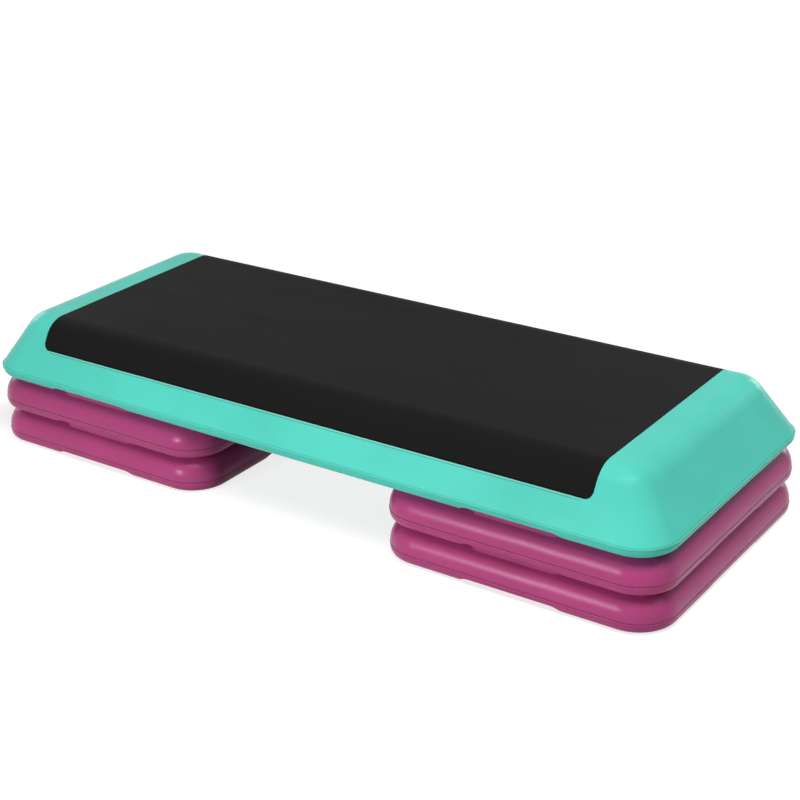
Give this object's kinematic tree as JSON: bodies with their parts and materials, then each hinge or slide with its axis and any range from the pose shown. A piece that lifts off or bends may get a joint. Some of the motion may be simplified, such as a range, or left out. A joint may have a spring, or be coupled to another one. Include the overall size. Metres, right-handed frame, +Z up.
{
  "type": "aerobic step platform",
  "caption": "Long moulded exercise step with a wrap-over tread mat, standing on stacks of low risers that nest plinth into socket and lift apart to change the height.",
  "frame": {"origin": "on the floor, under the middle of the deck", "axes": "+X along the deck to the right end, +Y across the deck to the back, +Z up"},
  "size_m": [1.091, 0.437, 0.1915],
  "materials": {
    "deck_plastic": "turquoise polyethylene with a fine moulded grain and a satin sheen",
    "riser_plastic": "plum polyethylene with a fine moulded grain and a satin sheen",
    "mat_rubber": "black matt rubber sheet",
    "foot_rubber": "black rubber"
  },
  "bodies": {
    "left_lower_riser": {"left_lower_riser": "riser_plastic", "left_lower_foot_front_left": "foot_rubber", "left_lower_foot_front_right": "foot_rubber", "left_lower_foot_back_left": "foot_rubber", "left_lower_foot_back_right": "foot_rubber"},
    "left_upper_riser": {"left_upper_riser": "riser_plastic", "left_upper_foot_front_left": "foot_rubber", "left_upper_foot_front_right": "foot_rubber", "left_upper_foot_back_left": "foot_rubber", "left_upper_foot_back_right": "foot_rubber"},
    "right_lower_riser": {"right_lower_riser": "riser_plastic", "right_lower_foot_front_left": "foot_rubber", "right_lower_foot_front_right": "foot_rubber", "right_lower_foot_back_left": "foot_rubber", "right_lower_foot_back_right": "foot_rubber"},
    "right_upper_riser": {"right_upper_riser": "riser_plastic", "right_upper_foot_front_left": "foot_rubber", "right_upper_foot_front_right": "foot_rubber", "right_upper_foot_back_left": "foot_rubber", "right_upper_foot_back_right": "foot_rubber"},
    "deck": {"deck_shell": "deck_plastic", "top_mat": "mat_rubber", "deck_foot_front_left": "foot_rubber", "deck_foot_front_right": "foot_rubber", "deck_foot_back_left": "foot_rubber", "deck_foot_back_right": "foot_rubber"}
  },
  "joints": [
    {"name": "left_upper_riser_lift", "type": "slide", "parent": "left_lower_riser", "child": "left_upper_riser", "axis": [0, 0, 1], "range_m": [0, 0.08]},
    {"name": "deck_lift", "type": "slide", "parent": "left_upper_riser", "child": "deck", "axis": [0, 0, 1], "range_m": [0, 0.08]},
    {"name": "right_upper_riser_release", "type": "slide", "parent": "deck", "child": "right_upper_riser", "axis": [0, 0, -1], "range_m": [0, 0.08]},
    {"name": "right_lower_riser_release", "type": "slide", "parent": "right_upper_riser", "child": "right_lower_riser", "axis": [0, 0, -1], "range_m": [0, 0.08]}
  ],
  "couplings": [
    {"joint": "right_upper_riser_release", "follows": "deck_lift", "ratio": 1},
    {"joint": "right_lower_riser_release", "follows": "left_upper_riser_lift", "ratio": 1}
  ]
}
